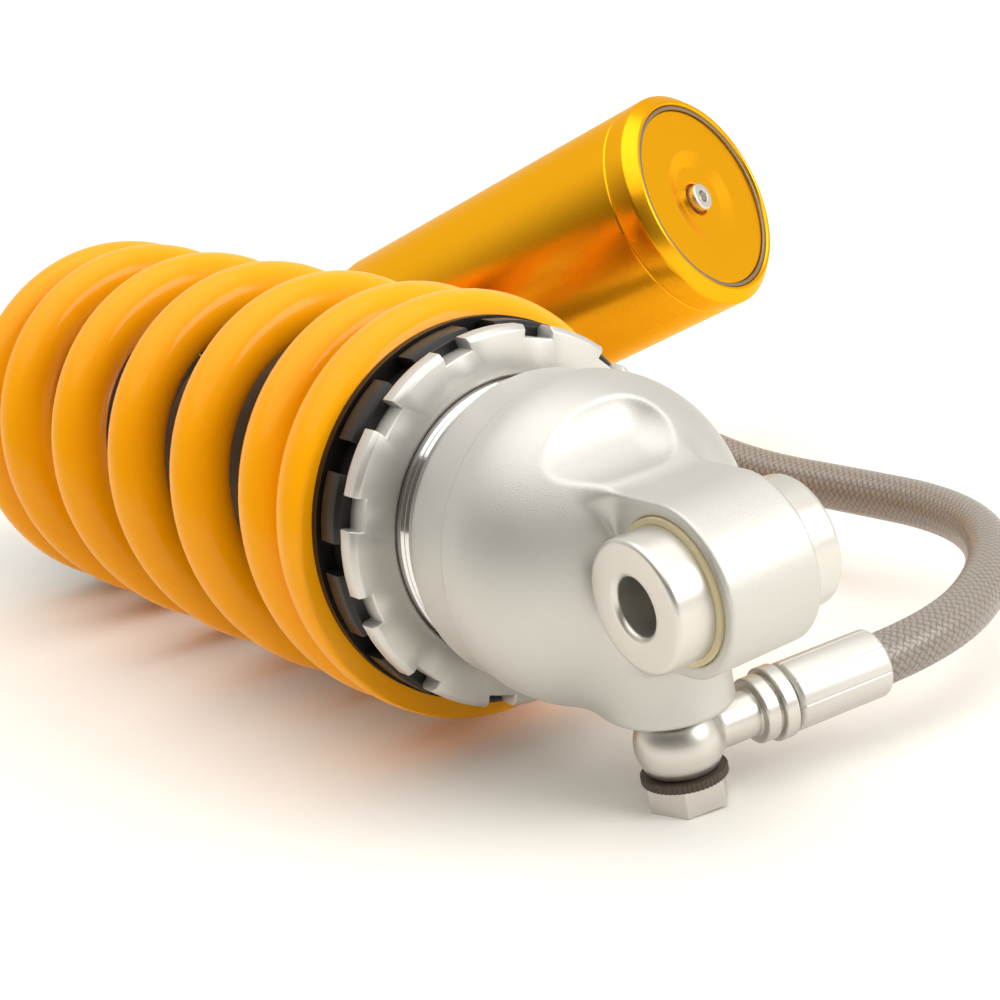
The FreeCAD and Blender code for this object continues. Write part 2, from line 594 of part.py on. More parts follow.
def rod_parts():
    turned("piston_rod", [
        ("stud_start", "rod_bore"), ("rod_thread_end", "rod_bore"), ("rod_thread_end", "rod_thread_radius"),
        ("rod_end", "rod_thread_radius"), ("rod_end", "rod_radius"), ("stud_end", "rod_radius"),
        ("stud_end", "stud_radius"), ("stud_start", "stud_radius"),
    ])
    tube_piece("piston_nut", "nut_start", "nut_end", "stud_radius", "nut_radius")
    turned("compression_shims", [
        ("nut_end", "stud_radius"), ("shim_end", "stud_radius"), ("shim_end", "shim_radius"),
        ("shim_end-1.5", "shim_radius"), ("nut_end", "shim_tip_radius"),
    ])
    turned("piston", [
        ("shim_end", "stud_radius"), ("piston_end", "stud_radius"), ("piston_end", "piston_radius"),
        ("band_end", "piston_radius"), ("band_end", "band_groove_radius"),
        ("band_start", "band_groove_radius"), ("band_start", "piston_radius"),
        ("shim_end", "piston_radius"),
    ])
    tube_piece("piston_band", "band_start", "band_end", "band_groove_radius", "band_radius")
    turned("rebound_shims", [
        ("piston_end", "stud_radius"), ("rebound_end", "stud_radius"), ("rebound_end", "shim_tip_radius"),
        ("piston_end+1.5", "shim_radius"), ("piston_end", "shim_radius"),
    ])
    tube_piece("top_out_spacer", "rebound_end", "stud_end", "stud_radius", "topout_radius")
    turned("rebound_needle", [
        ("needle_start", "0"), ("needle_end", "0"), ("needle_end", "needle_radius"),
        ("needle_start+3", "needle_radius"), ("needle_start", "needle_radius-1.2"),
    ])
    turned("bump_stop", [
        ("bump_start", "rod_radius+rod_gap"), ("bump_end", "rod_radius+rod_gap"),
        ("bump_end", "bump_radius"), ("bump_end-5", "bump_radius"), ("bump_end-8", "bump_waist"),
        ("bump_end-11", "bump_radius-1"), ("bump_start", "bump_waist"),
    ])
    tube_piece("bump_cup", "bump_end", "rod_end", "rod_radius+rod_gap", "bump_cup_radius")


def lower_parts():
    turned("lower_spring_seat", [
        ("low_collar_start", "low_seat_bore+2"), ("rod_end", "low_seat_bore+2"), ("rod_end", "low_seat_bore"),
        ("low_seat_end", "low_seat_bore"), ("low_seat_end", "low_seat_radius-1"),
        ("low_seat_end-1", "low_seat_radius"), ("spring_end", "low_seat_radius"),
        ("spring_end", "seat_collar_radius"), ("low_collar_start+1", "seat_collar_radius"),
        ("low_collar_start", "seat_collar_radius-1"),
    ])
    lower_clevis()


def lower_clevis():
    """The fork that takes the linkage, with a cross window for the rebound wheel."""
    body = turned("lower_clevis", [
        ("rod_end", "rod_thread_radius"), ("window_start+1", "rod_thread_radius"), ("window_start+1", "0"),
        ("clevis_neck_end", "0"), ("clevis_neck_end", "clevis_head_radius"),
        ("clevis_flange_end", "clevis_head_radius"), ("clevis_flange_end", "clevis_flange_radius"),
        ("low_seat_end", "clevis_flange_radius"), ("low_seat_end", "clevis_head_radius"),
        ("rod_end", "clevis_head_radius"),
    ])
    yoke = new_sketch(body, "YokeOutline", "YZ_Plane")
    outline(yoke, [("clevis_neck_end-2", "-yoke_height"), ("fork_pin", "-yoke_height"),
                   ("fork_pin", "yoke_height"), ("clevis_neck_end-2", "yoke_height")])
    pad(body, yoke, "Yoke", "yoke_half+yoke_half", both_ways=True)
    eye = new_sketch(body, "EyeOutline", "YZ_Plane")
    circle(eye, "fork_pin", "0", "yoke_height")
    pad(body, eye, "Eye", "yoke_half+yoke_half", both_ways=True)
    for name, sign in (("LeftFlat", "-"), ("RightFlat", "")):
        flat = new_sketch(body, name + "Outline", "XY_Plane")
        near, far = f"{sign}clevis_neck_half", f"{sign}clevis_flange_radius{sign or '+'}1"
        outline(flat, [(near, "clevis_flange_end"), (far, "clevis_flange_end"),
                       (far, "clevis_neck_end-2"), (near, "clevis_neck_end-2")])
        cuts(body, pocket(body, flat, name, "clevis_flange_radius+clevis_flange_radius", both_ways=True))
    gap = new_sketch(body, "ForkOutline", "XY_Plane")
    outline(gap, [("-fork_half", "fork_start"), ("fork_half", "fork_start"),
                  ("fork_half", "fork_pin+yoke_height+1"), ("-fork_half", "fork_pin+yoke_height+1")])
    cuts(body, pocket(body, gap, "Fork", "yoke_height+yoke_height+2", both_ways=True))
    window = new_sketch(body, "WindowOutline", "YZ_Plane")
    outline(window, [("window_start", "-window_half"), ("window_end", "-window_half"),
                     ("window_end", "window_half"), ("window_start", "window_half")])
    cuts(body, pocket(body, window, "Window", "yoke_half+yoke_half+2", both_ways=True))
    bore = new_sketch(body, "PinOutline", "YZ_Plane")
    circle(bore, "fork_pin", "0", "fork_pin_radius")
    cuts(body, pocket(body, bore, "PinBore", "yoke_half+yoke_half+2", both_ways=True))


def fluted(body, start, end, radius, flutes):
    """Scoop grip flutes along the rim of a wheel that turns about the Y axis."""
    scoop = new_sketch(body, "FluteOutline", "XZ_Plane", offset=minus(start))
    circle(scoop, radius, "0", "flute_radius")
    cut = pocket(body, scoop, "Flute", minus(start, end))
    cuts(body, cut)
    around_y(body, cut, "Flutes", flutes)


def rebound_wheel():
    start, end = "window_start+wheel_gap", "window_end-wheel_gap"
    body = turned("rebound_wheel", [
        (start, "wheel_bore"), (end, "wheel_bore"), (end, "wheel_radius-0.8"),
        (f"{end}-0.8", "wheel_radius"), (f"{start}+0.8", "wheel_radius"), (start, "wheel_radius-0.8"),
    ])
    fluted(body, start, end, "wheel_radius", "wheel_flutes")


def compression_knob():
    start, foot = "block_end+wheel_gap", "block_end-spindle_depth+wheel_gap"
    body = turned("compression_knob", [
        (foot, "0"), ("knob_end", "0"), ("knob_end", "knob_radius-0.8"), ("knob_end-0.8", "knob_radius"),
        (start, "knob_radius"), (start, "spindle_radius"), (foot, "spindle_radius"),
    ])
    fluted(body, start, "knob_end", "knob_radius", "knob_flutes")


# ---- remote reservoir ----------------------------------------------------------------------------

def reservoir_rotation():
    yaw = FreeCAD.Rotation(V(0, 0, 1), value("reservoir_yaw"))
    return yaw.multiply(FreeCAD.Rotation(V(1, 0, 0), -value("reservoir_drop")))


def reservoir_point(x, y, z):
    """A point of the reservoir's own frame in the shock's frame."""
    spot = V(value("reservoir_x"), value("reservoir_y"), value("reservoir_z"))
    return spot + reservoir_rotation().multVec(V(x, y, z))


def reservoir_parts():
    first = len(PARTS)
    turned("reservoir_body", [
        ("0.4", "can_bore"), ("can_end", "can_bore"), ("can_end", "can_radius"),
        ("can_rim", "can_radius"), ("0.64", "can_radius-0.64"), ("0", "can_radius-can_rim"),
        ("0", "can_bore+0.5"),
    ])
    turned("reservoir_cap", [
        ("end_cap_face+dish_depth", "valve_hole"), ("valve_back", "valve_hole"), ("valve_back", "0"),
        ("end_cap_back", "0"), ("end_cap_back", "end_cap_radius"), ("end_cap_face+0.3", "end_cap_radius"),
        ("end_cap_face+0.3", "clip_inner"), ("end_cap_face", "clip_inner-0.4"),
        ("end_cap_face", "dish_radius"),
    ])
    tube_piece("cap_retaining_ring", "clip_face", "end_cap_face+0.3", "clip_inner", "end_cap_radius")
    turned("gas_valve_screw", [
        ("end_cap_face", "0"), ("valve_back", "0"), ("valve_back", "valve_radius"),
        ("end_cap_face+0.6", "valve_radius"), ("end_cap_face", "valve_radius-0.6"),
    ])
    turned("floating_piston", [
        ("slug_start", "0"), ("slug_end-4", "0"), ("slug_end-4", "slug_radius-4"),
        ("slug_end", "slug_radius-3"), ("slug_end", "slug_radius"), ("slug_groove_end", "slug_radius"),
        ("slug_groove_end", "slug_groove_radius"), ("slug_groove_start", "slug_groove_radius"),
        ("slug_groove_start", "slug_radius"), ("slug_start", "slug_radius"),
    ])
    tube_piece("floating_piston_ring", "slug_groove_start", "slug_groove_end", "slug_groove_radius",
               "slug_band_radius")
    reservoir_block()
    compression_knob()
    for body in PARTS[first:]:
        place(body, V(value("reservoir_x"), value("reservoir_y"), value("reservoir_z")), reservoir_rotation())
    tail_fitting()


def ear_centre():
    """The hose port's centre across the reservoir's axis, as (x, z) in the reservoir's frame."""
    drop = math.radians(value("ear_drop"))
    return -value("ear_offset") * math.cos(drop), -value("ear_offset") * math.sin(drop)


def reservoir_block():
    """The valve block that closes the reservoir, with an ear for the hose fitting."""
    body = turned("reservoir_block", [
        ("spigot_start", "0"), ("block_end", "0"),
        ("block_end", "block_radius-1.5"), ("block_end-1.5", "block_radius"),
        ("can_end", "block_radius"), ("can_end", "spigot_radius"), ("spigot_start", "spigot_radius"),
    ])
    x, z = ear_centre()
    outward = V(x, 0, z).normalize()
    side = V(-outward.z, 0, outward.x)
    radius = value("ear_radius")
    ear = new_sketch(body, "EarOutline", "XZ_Plane", offset="-can_end")
    spots = [V(x + side.x * radius, z + side.z * radius, 0), V(side.x * radius, side.z * radius, 0),
             V(-side.x * radius, -side.z * radius, 0), V(x - side.x * radius, z - side.z * radius, 0)]
    for i in range(3):
        ear.addGeometry(Part.LineSegment(spots[i], spots[i + 1]), False)
    tip = V(x + outward.x * radius, z + outward.z * radius, 0)
    ear.addGeometry(Part.Arc(spots[3], tip, spots[0]), False)
    for i in range(4):
        ear.addConstraint(Sketcher.Constraint("Coincident", i, 2, (i + 1) % 4, 1)
                          if i < 2 else Sketcher.Constraint("Block", i))
    pad(body, ear, "Ear", "block_end-can_end-1", backwards=True)
    port = new_sketch(body, "PortOutline", "XZ_Plane", offset="-can_end")
    hole = port.addGeometry(Part.Circle(V(x, z, 0), V(0, 0, 1), value("port_radius")), False)
    index = port.addConstraint(Sketcher.Constraint("Radius", hole, value("port_radius")))
    port.setExpression(f"Constraints[{index}]", bound("port_radius"))
    cuts(body, pocket(body, port, "Port", "port_floor-can_end"))
    cuts(body, groove(body, [
        ("block_end-spindle_depth", "0"), ("block_end+1", "0"), ("block_end+1", "spindle_hole"),
        ("block_end-spindle_depth", "spindle_hole"),
    ], "SpindleHole"))


def tail_fitting():
    """Union nut and crimped ferrule where the hose enters the reservoir's block."""
    first = len(PARTS)
    turned("reservoir_union", [
        ("tail_ferrule_end", "0"), ("port_floor-0.5", "0"), ("port_floor-0.5", "port_radius-0.05"),
        ("can_end", "port_radius-0.05"), ("can_end", "gland_radius"),
        ("tail_ferrule_end+1", "gland_radius"), ("tail_ferrule_end+1", "groove_radius"),
        ("tail_ferrule_end", "groove_radius"),
    ])
    turned("reservoir_ferrule", [
        ("tail_ferrule_start", "hose_radius-1.2"), ("tail_ferrule_end", "hose_radius-1.2"),
        ("tail_ferrule_end", "ferrule_radius-ferrule_chamfer"),
        ("tail_ferrule_end-ferrule_chamfer", "ferrule_radius"),
        ("tail_ferrule_start+ferrule_chamfer", "ferrule_radius"),
        ("tail_ferrule_start", "ferrule_radius-ferrule_chamfer"),
    ])
    x, z = ear_centre()
    for body in PARTS[first:]:
        place(body, reservoir_point(x, 0, z), reservoir_rotation())


# ---- hose ----------------------------------------------------------------------------------------

def hose_route():
    turn = math.radians(value("stem_turn"))
    reach = value("ferrule_end")
    start = V(reach * math.cos(turn), value("banjo_along") + reach * math.sin(turn), -value("ball_drop"))
    x, z = ear_centre()
    end = reservoir_point(x, value("tail_ferrule_start"), z)
    return [start] + [V(*point) for point in HOSE_MIDDLE] + [end]


def hose():
    """Straight runs joined by tangent arcs, each arc as large as its two runs allow."""
    route = hose_route()
    edges, here, radii = [], route[0], []
    for before, corner, after in zip(route, route[1:], route[2:]):
        inward, outward = (before - corner).normalize(), (after - corner).normalize()
        half_turn = (math.pi - inward.getAngle(outward)) / 2
        setback = 0.45 * min(before.distanceToPoint(corner), after.distanceToPoint(corner))
        radius = setback / math.tan(half_turn)
        bisector = (inward + outward).normalize()
        middle = corner + bisector * (radius / math.cos(half_turn) - radius)
        first, last = corner + inward * setback, corner + outward * setback
        edges += [Part.LineSegment(here, first).toShape(), Part.Arc(first, middle, last).toShape()]
        here = last
        radii.append(round(radius, 1))
    edges.append(Part.LineSegment(here, route[-1]).toShape())
    path = Part.Wire(edges)
    section = Part.Wire([Part.Circle(route[0], route[1] - route[0], value("hose_radius")).toShape()])
    tube = path.makePipeShell([section], True, True)
    expected = math.pi * value("hose_radius") ** 2 * path.Length
    print("hose radii", radii, "length", round(path.Length, 1), "volume ratio", round(tube.Volume / expected, 4))
    piece = doc.addObject("Part::Feature", "hose")
    piece.Label = "hose"
    piece.Shape = tube
    PARTS.append(piece)


# ---- build and export ----------------------------------------------------------------------------

def check_and_export():
    doc.recompute()
    for item in doc.Objects:
        if "Invalid" in item.State or "Error" in item.State:
            raise RuntimeError(f"{item.Label} did not compute: {item.State}")
    for body in PARTS:
        if body.Shape.isNull() or not body.Shape.isValid() or not body.Shape.Solids:
            raise RuntimeError(f"{body.Label} is not a valid solid")
    os.makedirs("parts", exist_ok=True)
    for body in PARTS:
        body.Shape.exportStep(f"parts/{body.Label}.step")


fill_sheet()
eye_parts()
cylinder_head()
banjo_parts()
body_tube()
seal_parts()
ring_parts()
coil_spring()
rod_parts()
lower_parts()
rebound_wheel()
reservoir_parts()
hose()
check_and_export()
print(len(PARTS), "parts")
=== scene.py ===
"""Motorcycle rear shock absorber lying on its banjo bolt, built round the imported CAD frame."""

import math

import bmesh
import bpy
import numpy as np
from mathutils import Matrix, Vector
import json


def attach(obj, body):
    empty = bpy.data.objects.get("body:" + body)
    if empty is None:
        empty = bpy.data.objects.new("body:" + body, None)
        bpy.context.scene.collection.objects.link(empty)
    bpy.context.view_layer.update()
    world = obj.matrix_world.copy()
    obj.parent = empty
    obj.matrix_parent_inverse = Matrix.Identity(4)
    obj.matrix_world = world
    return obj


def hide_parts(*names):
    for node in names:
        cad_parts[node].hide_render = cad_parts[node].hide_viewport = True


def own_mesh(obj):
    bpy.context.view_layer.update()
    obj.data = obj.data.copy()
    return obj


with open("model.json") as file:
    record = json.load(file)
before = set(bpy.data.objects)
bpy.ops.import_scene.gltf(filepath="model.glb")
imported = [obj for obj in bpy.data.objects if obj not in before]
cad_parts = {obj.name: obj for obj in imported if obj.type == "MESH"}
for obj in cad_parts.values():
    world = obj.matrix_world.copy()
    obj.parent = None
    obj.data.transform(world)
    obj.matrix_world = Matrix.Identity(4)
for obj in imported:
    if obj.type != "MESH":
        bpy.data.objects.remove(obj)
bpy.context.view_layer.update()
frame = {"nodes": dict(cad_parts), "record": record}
MM = 0.001
TURN = 2 * math.pi

# Every size below is in millimetres, as in the CAD model.
RESERVOIR_AT = Vector((122.9, 150.4, 23.7))
RESERVOIR_YAW, RESERVOIR_DROP = math.radians(24.1), math.radians(20.5)
EAR_OFFSET, EAR_DROP = 34.0, math.radians(19.0)
BANJO_ALONG = 19.54
BANJO_AT = Vector((0, BANJO_ALONG, -34.6))
BANJO_TURN = math.radians(-6.3)
HOSE_RADIUS = 4.9
BRAID_STRANDS, BRAID_PITCH = 16, 1.55
FERRULE_RADIUS, CRIMPS = 6.38, 8
HEAD_ROUND, HEAD_CURVE_END, HEAD_CURVE_DEPTH = 1.7, 34.1, 21.7
HEAD_STEP, HEAD_REAR, BARREL_RADIUS = 37.3, 48.6, 28.3
LUG_RADIUS, LUG_HALF, BUSH_RADIUS = 15.06, 9.19, 12.66
BOSS_RADIUS, BOSS_FACE = 11.05, -28.2
# Where the painted shade on the body tube starts and where it is full, in metres along the tube.
SHADE_BAND_BEGINS = (0.0560, 0.0575)
HOSE_ROUTE = [
    (41.25, 14.98, -34.6), (57.1, 13.2, -34.6), (79.8, 23.0, -33.2), (93.2, 38.6, -32.2),
    (98.4, 56.8, -31.4), (95.9, 79.2, -30.4), (89.0, 104.0, -27.5), (84.6, 123.5, -21.5),
    (80.9, 141.0, -15.0), (77.9, 157.5, -10.0), (74.4, 174.0, -7.6), (69.9, 190.1, -9.8),
    (63.8, 203.8, -15.4),
]


# ---- camera, floor and light -----------------------------------------------------------------

def add_camera():
    data = bpy.data.cameras.new("view_camera")
    data.sensor_width, data.lens = 36.0, 86.4
    data.clip_start, data.clip_end = 0.01, 100
    camera = bpy.data.objects.new("view_camera", data)
    bpy.context.scene.collection.objects.link(camera)
    right = Vector((0.8153, -0.5474, -0.1886)).normalized()
    up = Vector((0.3163, 0.1483, 0.9370))
    up = (up - right * up.dot(right)).normalized()
    pose = Matrix((right, up, right.cross(up))).transposed().to_4x4()
    pose.translation = Vector((-0.21216, -0.2975, 0.13124))
    camera.matrix_world = pose
    bpy.context.scene.camera = camera


def add_floor():
    """The surface that the bolt head, the last coil and the reservoir's end rest on."""
    bolt, coil = Vector((0, 19.5, -46.3)), Vector((0, 222.0, -40.2))
    reservoir = Vector((78.0, 251.0, -43.2))
    normal = (reservoir - bolt).cross(coil - bolt).normalized()
    side = Vector((1, 0, -normal.x / normal.z)).normalized()
    size = 6.0
    corners = [(bolt * MM) + side * u * size + normal.cross(side) * v * size
               for u, v in ((-1, -1), (1, -1), (1, 1), (-1, 1))]
    mesh = bpy.data.meshes.new("floor")
    mesh.from_pydata(corners, [], [(0, 1, 2, 3)])
    floor = bpy.data.objects.new("floor", mesh)
    bpy.context.scene.collection.objects.link(floor)
    mesh.materials.append(plain_material("floor_paper", (0.93, 0.91, 0.87), rough=0.75))


def add_light(name, at, toward, size, power, colour=(1, 1, 1)):
    data = bpy.data.lights.new(name, "AREA")
    data.shape, data.size, data.size_y = "RECTANGLE", size[0], size[1]
    data.energy, data.color = power, colour
    light = bpy.data.objects.new(name, data)
    bpy.context.scene.collection.objects.link(light)
    light.location = at
    light.rotation_euler = (Vector(toward) - Vector(at)).to_track_quat("-Z", "Y").to_euler()


def add_surroundings():
    """A pale room, darker on the camera's side than behind and above the part."""
    world = bpy.data.worlds.new("studio")
    bpy.context.scene.world = world
    world.use_nodes = True
    tree = world.node_tree
    background = tree.nodes["Background"]
    background.inputs["Strength"].default_value = 1.0
    direction = tree.nodes.new("ShaderNodeTexCoord").outputs["Generated"]
    toward = tree.nodes.new("ShaderNodeVectorMath")
    toward.operation = "DOT_PRODUCT"
    toward.inputs[1].default_value = (0.66, 0.62, 0.42)
    tree.links.new(direction, toward.inputs[0])
    ramp = tree.nodes.new("ShaderNodeMapRange")
    ramp.interpolation_type = "SMOOTHSTEP"
    for socket, number in zip(ramp.inputs[1:5], (-0.58, 0.50, 0.0, 1.0)):
        socket.default_value = number
    tree.links.new(toward.outputs["Value"], ramp.inputs[0])
    tint = tree.nodes.new("ShaderNodeMix")
    tint.data_type = "RGBA"
    tint.inputs[6].default_value = (0.13, 0.122, 0.105, 1)
    tint.inputs[7].default_value = (0.93, 0.91, 0.86, 1)
    tree.links.new(ramp.outputs[0], tint.inputs[0])
    tree.links.new(tint.outputs[2], background.inputs["Color"])


def add_lighting():
    add_surroundings()
    warm = (1.0, 0.985, 0.96)
    add_light("key_panel", (0.50, -0.78, 0.46), (0.0, 0.06, 0), (0.55, 0.55), 6, warm)
    sun = bpy.data.lights.new("overhead", "SUN")
    sun.energy, sun.angle, sun.color = 1.75, math.radians(80), warm
    overhead = bpy.data.objects.new("overhead", sun)
    bpy.context.scene.collection.objects.link(overhead)
    overhead.rotation_euler = Vector((0.12, 0.10, -1)).to_track_quat("-Z", "Y").to_euler()
    bpy.context.scene.view_settings.view_transform = "Standard"


# ---- materials -------------------------------------------------------------------------------

class Nodes:
    """A short way to write a node tree."""

    def __init__(self, material):
        self.tree = material.node_tree
        self.shader = self.tree.nodes["Principled BSDF"]

    def add(self, kind, inputs=None, **settings):
        node = self.tree.nodes.new(kind)
        for key, setting in settings.items():
            setattr(node, key, setting)
        for key, source in (inputs or {}).items():
            self.put(node.inputs[key], source)
        return node

    def put(self, socket, source):
        if isinstance(source, bpy.types.NodeSocket):
            self.tree.links.new(source, socket)
        else:
            socket.default_value = source

    def maths(self, operation, *values, clamp=False):
        node = self.add("ShaderNodeMath", operation=operation, use_clamp=clamp)
        for socket, source in zip(node.inputs, values):
            self.put(socket, source)
        return node.outputs[0]

    def position(self):
        return self.add("ShaderNodeTexCoord").outputs["Object"]

    def noise(self, scale, detail=2.0, vector=None):
        inputs = {"Scale": scale, "Detail": detail, "Vector": vector or self.position()}
        return self.add("ShaderNodeTexNoise", inputs).outputs["Fac"]

    def spread(self, factor, low, high, start=0.3, end=0.7):
        inputs = {0: factor, 1: start, 2: end, 3: low, 4: high}
        return self.add("ShaderNodeMapRange", inputs).outputs[0]

    def mix(self, factor, first, second):
        node = self.add("ShaderNodeMix", data_type="RGBA")
        self.put(node.inputs[0], factor)
        self.put(node.inputs[6], first)
        self.put(node.inputs[7], second)
        return node.outputs[2]

    def bump(self, height, strength, distance, below=None):
        inputs = {"Height": height, "Strength": strength, "Distance": distance}
        if below is not None:
            inputs["Normal"] = below
        return self.add("ShaderNodeBump", inputs).outputs["Normal"]


def plain_material(name, colour, metallic=0.0, rough=0.5):
    material = bpy.data.materials.new(name)
    material.use_nodes = True
    shader = material.node_tree.nodes["Principled BSDF"]
    shader.inputs["Base Color"].default_value = (*colour, 1)
    shader.inputs["Metallic"].default_value = metallic
    shader.inputs["Roughness"].default_value = rough
    return material


def shade(colour, factor):
    return tuple(min(1.0, c * factor) for c in colour) + (1.0,)


def surface(name, colour, metallic, rough, grain=(2500, 0.1), mottle=(60, 0.03), coat=0.0, lines=None):
    """A finish with fine grain, cloudy colour and roughness, and optional turning marks.

    grain is (scale, bump strength), mottle is (scale, amount), and lines is (axis vector, lines
    per metre, bump strength) for the fine rings a lathe leaves across that axis.
    """
    material = plain_material(name, colour, metallic, rough)
    nodes = Nodes(material)
    cloud = nodes.noise(mottle[0], 4.0)
    base = nodes.mix(cloud, shade(colour, 1 - mottle[1]), shade(colour, 1 + mottle[1]))
    nodes.put(nodes.shader.inputs["Base Color"], base)
    patches = nodes.noise(mottle[0] * 3.1, 3.0)
    nodes.put(nodes.shader.inputs["Roughness"], nodes.spread(patches, rough * 0.94, rough * 1.06))
    normal = nodes.bump(nodes.noise(grain[0], 3.0), grain[1], 0.0001)
    if lines:
        axis, count, strength = lines
        along = nodes.add("ShaderNodeVectorMath", {0: nodes.position(), 1: axis}, operation="DOT_PRODUCT")
        line = nodes.add("ShaderNodeCombineXYZ", {0: along.outputs["Value"]}).outputs[0]
        steps = nodes.noise(count, 2.0, line)
        normal = nodes.bump(steps, strength, 0.0001, normal)
    nodes.put(nodes.shader.inputs["Normal"], normal)
    nodes.shader.inputs["Coat Weight"].default_value = coat
    nodes.shader.inputs["Coat Roughness"].default_value = 0.06
    return material


def axis_of_reservoir():
    return tuple(reservoir_matrix().to_3x3() @ Vector((0, 1, 0)))


def spring_paint():
    """Thick glossy powder coat: orange peel, and a colour that varies slightly in broad patches."""
    material = plain_material("spring_powder_coat", (0.96, 0.36, 0.002), 0.0, 0.34)
    nodes = Nodes(material)
    base = nodes.mix(nodes.noise(35, 3.0), (0.93, 0.365, 0.001, 1), (0.98, 0.405, 0.0012, 1))
    nodes.put(nodes.shader.inputs["Base Color"], base)
    peel = nodes.bump(nodes.noise(420, 2.0), 0.10, 0.0003)
    nodes.put(nodes.shader.inputs["Normal"], peel)
    nodes.put(nodes.shader.inputs["Roughness"], nodes.spread(nodes.noise(90, 3.0), 0.30, 0.38))
    nodes.shader.inputs["Specular IOR Level"].default_value = 0.08
    nodes.shader.inputs["Coat Weight"].default_value = 0.22
    nodes.shader.inputs["Coat Roughness"].default_value = 0.10
    nodes.put(nodes.shader.inputs["Coat Normal"], nodes.bump(nodes.noise(300, 1.0), 0.06, 0.0003))
    return material


def braid_material():
    """Woven grey braid seen through a clear jacket. The map runs in millimetres along and round."""
    material = plain_material("hose_braid", (0.25, 0.22, 0.19), 0.0, 0.42)
    nodes = Nodes(material)
    uv = nodes.add("ShaderNodeSeparateXYZ", {0: nodes.add("ShaderNodeTexCoord").outputs["UV"]})
    along, around = uv.outputs[0], uv.outputs[1]
    waves = []
    for sign in (1, -1):
        lean = nodes.maths("MULTIPLY", around, float(sign * BRAID_STRANDS))
        waves.append(nodes.maths("ADD", nodes.maths("DIVIDE", along, BRAID_PITCH), lean))
    cells = [nodes.maths("FLOOR", wave) for wave in waves]
    total = nodes.maths("MULTIPLY", nodes.maths("ADD", cells[0], cells[1]), 0.5)
    over = nodes.maths("GREATER_THAN", nodes.maths("FRACT", total), 0.25)
    ridges = [nodes.maths("ABSOLUTE", nodes.maths("SINE", nodes.maths("MULTIPLY", wave, math.pi)))
              for wave in waves]
    ridge = nodes.add("ShaderNodeMix", data_type="FLOAT")
    nodes.put(ridge.inputs[0], over)
    nodes.put(ridge.inputs[2], ridges[0])
    nodes.put(ridge.inputs[3], ridges[1])
    height = nodes.maths("POWER", ridge.outputs[0], 0.6)
    # The braid is painted near black in the hollows where one strand dips under the next, rising to its own
    # grey on the crowns: painted shade in the weave.
    dark, light = (0.055, 0.044, 0.034, 1), (0.26, 0.22, 0.18, 1)
    base = nodes.mix(height, dark, light)
    speckle = nodes.mix(nodes.spread(nodes.noise(2600, 2.0), 0.0, 0.35), base, (0.33, 0.29, 0.25, 1))
    nodes.put(nodes.shader.inputs["Base Color"], speckle)
    nodes.put(nodes.shader.inputs["Normal"], nodes.bump(height, 0.7, 0.0002))
    nodes.shader.inputs["Coat Weight"].default_value = 0.55
    nodes.shader.inputs["Coat Roughness"].default_value = 0.22
    return material


def make_materials():
    across, along, gas = (1, 0, 0), (0, 1, 0), axis_of_reservoir()
    materials = {
        "cast_aluminium": surface("cast_aluminium", (0.58, 0.57, 0.54), 0.88, 0.50,
                                  (4200, 0.40), (22, 0.035)),
        "turned_aluminium": surface("turned_aluminium", (0.64, 0.625, 0.59), 0.9, 0.44,
                                    (5200, 0.04), (45, 0.03), lines=(along, 2600, 0.04)),
        "black_aluminium": surface("black_aluminium", (0.010, 0.009, 0.008), 0.3, 0.36, (3500, 0.05)),
        "gold_aluminium": surface("gold_aluminium", (0.92, 0.42, 0.010), 1.0, 0.28,
                                  (3500, 0.0), (25, 0.02), lines=(gas, 1900, 0.03)),
        "tube_steel": surface("tube_steel", (0.72, 0.71, 0.70), 1.0, 0.10, (2500, 0.02)),
        "spring_steel": spring_paint(),
        "bright_steel": surface("bright_steel", (0.64, 0.62, 0.575), 0.95, 0.36,
                                (4200, 0.05), (70, 0.04), lines=(across, 3000, 0.05)),
        "rod_chrome": surface("rod_chrome", (0.78, 0.78, 0.79), 1.0, 0.06, (2500, 0.01)),
        "shim_steel": surface("shim_steel", (0.27, 0.22, 0.15), 0.95, 0.4),
        "bush_plastic": surface("bush_plastic", (0.62, 0.54, 0.33), 0.0, 0.45, (1800, 0.12), (300, 0.12)),
        "bump_foam": surface("bump_foam", (0.035, 0.034, 0.032), 0.0, 0.85, (1400, 0.9), (300, 0.3)),
        "seal_rubber": surface("seal_rubber", (0.015, 0.015, 0.015), 0.0, 0.6, (1800, 0.2)),
        "bonded_seal": surface("bonded_seal", (0.075, 0.055, 0.040), 0.2, 0.5, (1500, 0.5), (500, 0.25)),
        "band_ptfe": surface("band_ptfe", (0.16, 0.08, 0.04), 0.0, 0.5, (1800, 0.1)),
        "hose_braid": braid_material(),
    }
    # Inside the spring the body tube is painted near black from about 56 mm on. This is painted shade, so
    # the gaps between the coils look dark. The tube is also rougher there.
    tube = Nodes(materials["tube_steel"])
    along_tube = tube.add("ShaderNodeSeparateXYZ", {0: tube.position()}).outputs[1]
    painted_shade_band = tube.spread(along_tube, 0.0, 1.0, *SHADE_BAND_BEGINS)
    polished, shadowed = (0.72, 0.71, 0.70, 1), (0.07, 0.055, 0.04, 1)
    tube.put(tube.shader.inputs["Base Color"], tube.mix(painted_shade_band, polished, shadowed))
    tube.put(tube.shader.inputs["Roughness"], tube.spread(painted_shade_band, 0.10, 0.5, 0.0, 1.0))
    gold = materials["gold_aluminium"].node_tree.nodes["Principled BSDF"]
    gold.inputs["Specular Tint"].default_value = (1.0, 0.86, 0.50, 1)
    return materials


# ---- mesh helpers ----------------------------------------------------------------------------

